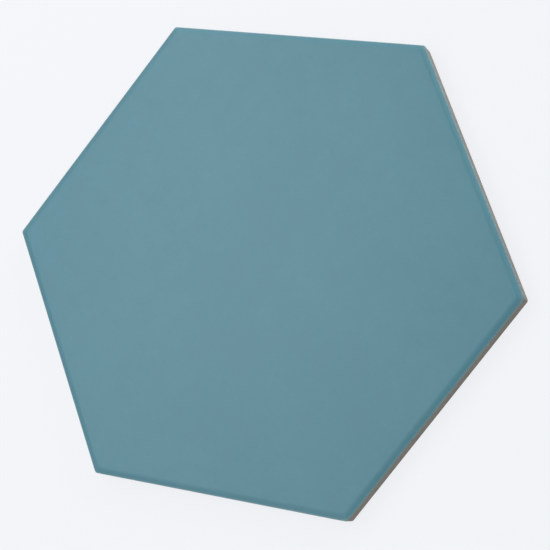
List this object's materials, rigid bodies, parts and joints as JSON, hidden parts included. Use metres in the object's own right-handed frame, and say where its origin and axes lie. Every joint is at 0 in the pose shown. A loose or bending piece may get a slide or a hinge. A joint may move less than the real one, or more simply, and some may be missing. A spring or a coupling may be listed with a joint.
{
  "type": "hexagon tile",
  "caption": "Glazed ceramic hexagon tile with a softly rounded satin face, bare fired sides and a keyed back for bonding to a wall or floor.",
  "frame": {"origin": "middle of the back face, in the plane that the tile beds on", "axes": "+Z out of the glazed face, +X to a corner, +Y to the middle of a side"},
  "size_m": [0.2016, 0.175, 0.0085],
  "materials": {
    "satin_glaze": "satin blue-green glaze on the face, bare grey-beige fired body on the sides and back"
  },
  "bodies": {
    "root": {"hexagon_tile": "satin_glaze"}
  },
  "joints": []
}
